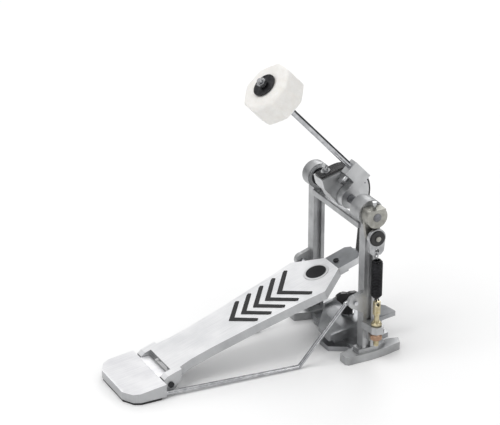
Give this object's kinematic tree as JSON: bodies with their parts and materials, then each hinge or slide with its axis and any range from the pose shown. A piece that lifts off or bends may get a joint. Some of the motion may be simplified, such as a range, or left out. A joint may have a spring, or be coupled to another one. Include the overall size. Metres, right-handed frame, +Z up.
{
  "type": "bass drum pedal",
  "caption": "Floor pedal that swings a felt beater at a bass drum: hinged footboard, strap and cam, sprung axle, and a clamp for the drum's hoop.",
  "frame": {"origin": "on the floor directly below the axle, midway between the posts", "axes": "+X to the player's right (spring side), +Y from heel to drum, +Z up"},
  "size_m": [0.1595, 0.3515, 0.3597],
  "materials": {
    "cast_frame": "satin cast, lightly peened",
    "cast_dark": "tumbled cast",
    "board_alloy": "brushed along the board",
    "toe_alloy": "tumbled cast",
    "machined_alloy": "satin machined",
    "steel": "turned",
    "chrome_rod": "polished chrome plate",
    "zinc_plate": "yellow zinc plate",
    "copper_nut": "dull copper-toned plate",
    "black_plastic": "moulded, fine grain",
    "rubber": "matte",
    "strap_web": "tight woven nylon",
    "white_felt": "pressed wool felt",
    "black_spring": "black oxide",
    "dark_steel": "dark plated steel"
  },
  "bodies": {
    "frame": {"left_post": "cast_frame", "right_post": "cast_frame", "yoke_bar": "cast_frame", "base_plate": "cast_dark", "clamp_pad": "rubber", "jaw_pin": "steel", "heel_plate": "board_alloy", "heel_sole": "rubber", "hinge_pin": "steel", "stay_left": "chrome_rod", "stay_right": "chrome_rod", "bearing_left": "dark_steel", "bearing_right": "dark_steel"},
    "footboard": {"footboard": "board_alloy", "grip_strips": "rubber", "board_disc": "machined_alloy", "toe_plate": "toe_alloy", "toe_screw": "dark_steel", "strap_clip": "steel"},
    "drive": {"axle": "steel", "cam": "machined_alloy", "drive_strap": "strap_web", "strap_bolt": "steel", "beater_holder": "machined_alloy", "holder_bolt": "steel", "spring_lever": "machined_alloy", "lever_screw": "steel"},
    "beater": {"beater_rod": "chrome_rod", "felt_head": "white_felt", "head_washer": "dark_steel", "head_collar": "dark_steel", "head_nut": "steel"},
    "link": {"link_plate": "machined_alloy", "link_bush": "black_plastic"},
    "tension": {"tension_rod": "zinc_plate"},
    "spring": {"return_spring": "black_spring"},
    "tension_nuts": {"tension_nut": "copper_nut", "lock_nut": "zinc_plate"},
    "jaw": {"clamp_jaw": "cast_dark", "jaw_pad": "rubber"},
    "wing_slide": {"wing_washer": "steel"},
    "wing": {"wing_screw": "black_plastic"}
  },
  "joints": [
    {"name": "pedal_press", "type": "hinge", "parent": "frame", "child": "footboard", "pos_m": [0, -0.237, 0.012], "axis": [-1, 0, 0], "range_deg": [0, 5.8], "deforming": ["drive_strap"]},
    {"name": "axle_turn", "type": "hinge", "parent": "frame", "child": "drive", "pos_m": [0, 0, 0.186], "axis": [-1, 0, 0], "range_deg": [0, 45.2], "stiffness_Nm_per_rad": 0.8, "springref_deg": -17.19, "deforming": ["drive_strap", "return_spring"]},
    {"name": "spring_lean", "type": "hinge", "parent": "tension", "child": "spring", "pos_m": [0.0805, 0.003, 0.0765], "axis": [-1, 0, 0], "range_deg": [-11, 0], "deforming": ["return_spring"]},
    {"name": "rod_slide", "type": "slide", "parent": "drive", "child": "beater", "axis": [0, -0.6858, 0.7278], "range_m": [-0.02, 0.012]},
    {"name": "link_swing", "type": "hinge", "parent": "drive", "child": "link", "pos_m": [0.08, 0, 0.161], "axis": [-1, 0, 0], "range_deg": [-57, 0], "deforming": ["return_spring"]},
    {"name": "nut_turn", "type": "hinge", "parent": "frame", "child": "tension_nuts", "pos_m": [0.0805, 0.003, 0.04], "axis": [0, 0, 1], "range_deg": [-1200, 1200]},
    {"name": "tension_slide", "type": "slide", "parent": "frame", "child": "tension", "axis": [0, 0, 1], "range_m": [-0.003, 0.003], "deforming": ["return_spring"]},
    {"name": "jaw_close", "type": "hinge", "parent": "frame", "child": "jaw", "pos_m": [0, -0.014, 0.013], "axis": [-1, 0, 0], "range_deg": [0, 5]},
    {"name": "washer_drop", "type": "slide", "parent": "frame", "child": "wing_slide", "axis": [0, 0, -1], "range_m": [0, 0.0015]},
    {"name": "wing_turn", "type": "hinge", "parent": "wing_slide", "child": "wing", "pos_m": [0.002, 0.01, 0.03], "axis": [0, 0, 1], "range_deg": [-720, 720]}
  ],
  "couplings": [
    {"joint": "axle_turn", "follows": "pedal_press", "ratio": 7.77},
    {"joint": "link_swing", "follows": "pedal_press", "ratio": -9.62},
    {"joint": "spring_lean", "follows": "pedal_press", "ratio": -1.84},
    {"joint": "nut_turn", "follows": "tension_slide", "rad_per_m": 6283.2},
    {"joint": "washer_drop", "follows": "jaw_close", "m_per_rad": 0.016}
  ]
}
